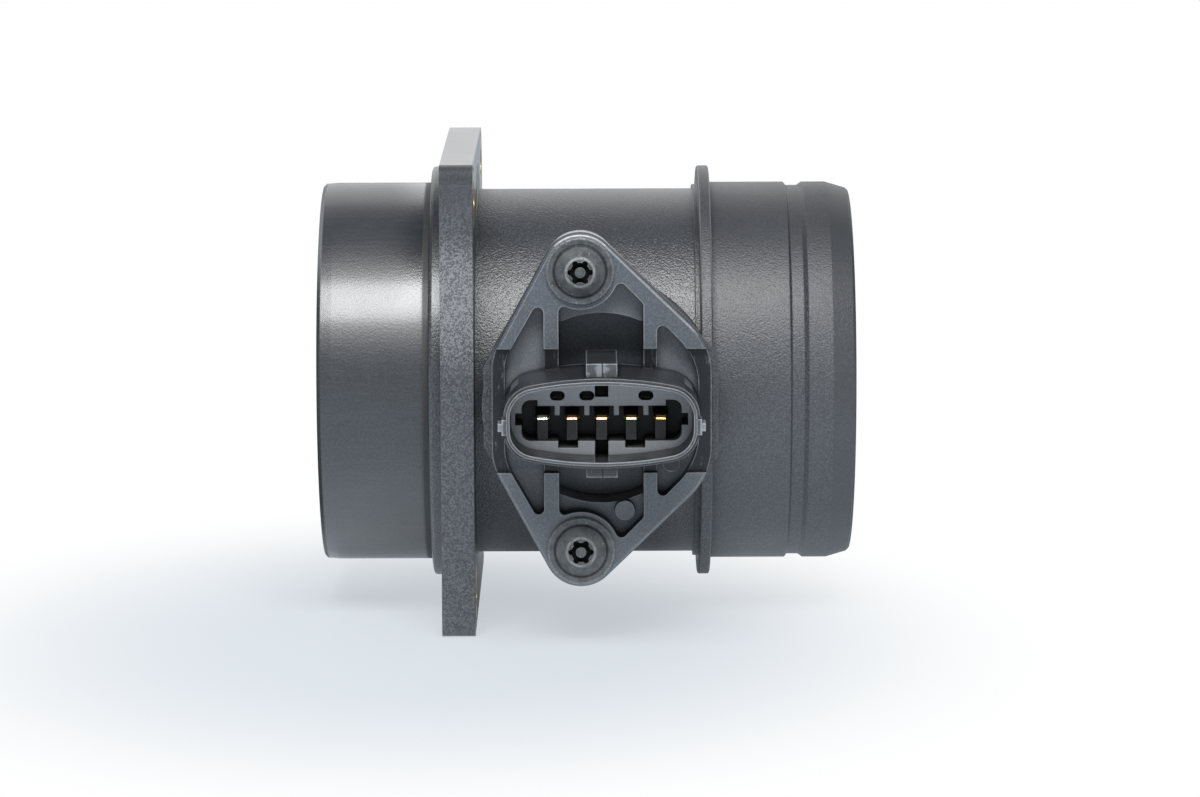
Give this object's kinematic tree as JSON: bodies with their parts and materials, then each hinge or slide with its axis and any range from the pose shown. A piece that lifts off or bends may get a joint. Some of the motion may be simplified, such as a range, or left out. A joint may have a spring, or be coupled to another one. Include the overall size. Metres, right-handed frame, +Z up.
{
  "type": "mass airflow sensor",
  "caption": "Moulded measuring tube with a square bolt-on inlet flange, hose end and a plug-in air mass sensor with an oval keyed connector, held by security screws.",
  "frame": {"origin": "where the tube's axis meets the flange face that seats on the air cleaner", "axes": "+X along the air flow to the hose end, -Y towards the plug-in sensor's connector, +Z up"},
  "size_m": [0.1109, 0.1244, 0.0968],
  "materials": {
    "tube_plastic": "fine moulded grain, gloss inlet spigot",
    "grid_plastic": "plain moulded",
    "screen_steel": "bright wire",
    "ring_steel": "bright spring steel",
    "sensor_plastic": "satin moulded, grey-black",
    "seal_rubber": "matt",
    "carrier_metal": "rolled sheet",
    "board_ceramic": "white ceramic",
    "cell_glass": "polished chip",
    "cover_plastic": "plain moulded",
    "screw_steel": "dark oiled coating",
    "bush_brass": "turned",
    "terminal_gold": "gold-plated, bright"
  },
  "bodies": {
    "root": {"tube_housing": "tube_plastic", "flow_grid": "grid_plastic", "wire_screen": "screen_steel", "clamp_ring": "ring_steel", "sensor_body": "sensor_plastic", "seal_ring": "seal_rubber", "carrier_plate": "carrier_metal", "circuit_board": "board_ceramic", "measuring_cell": "cell_glass", "electronics_cover": "cover_plastic", "bypass_cover": "cover_plastic", "security_screw_upper": "screw_steel", "security_screw_lower": "screw_steel", "flange_bush_1": "bush_brass", "flange_bush_2": "bush_brass", "flange_bush_3": "bush_brass", "flange_bush_4": "bush_brass", "terminal_1": "terminal_gold", "terminal_2": "terminal_gold", "terminal_3": "terminal_gold", "terminal_4": "terminal_gold", "terminal_5": "terminal_gold"}
  },
  "joints": []
}
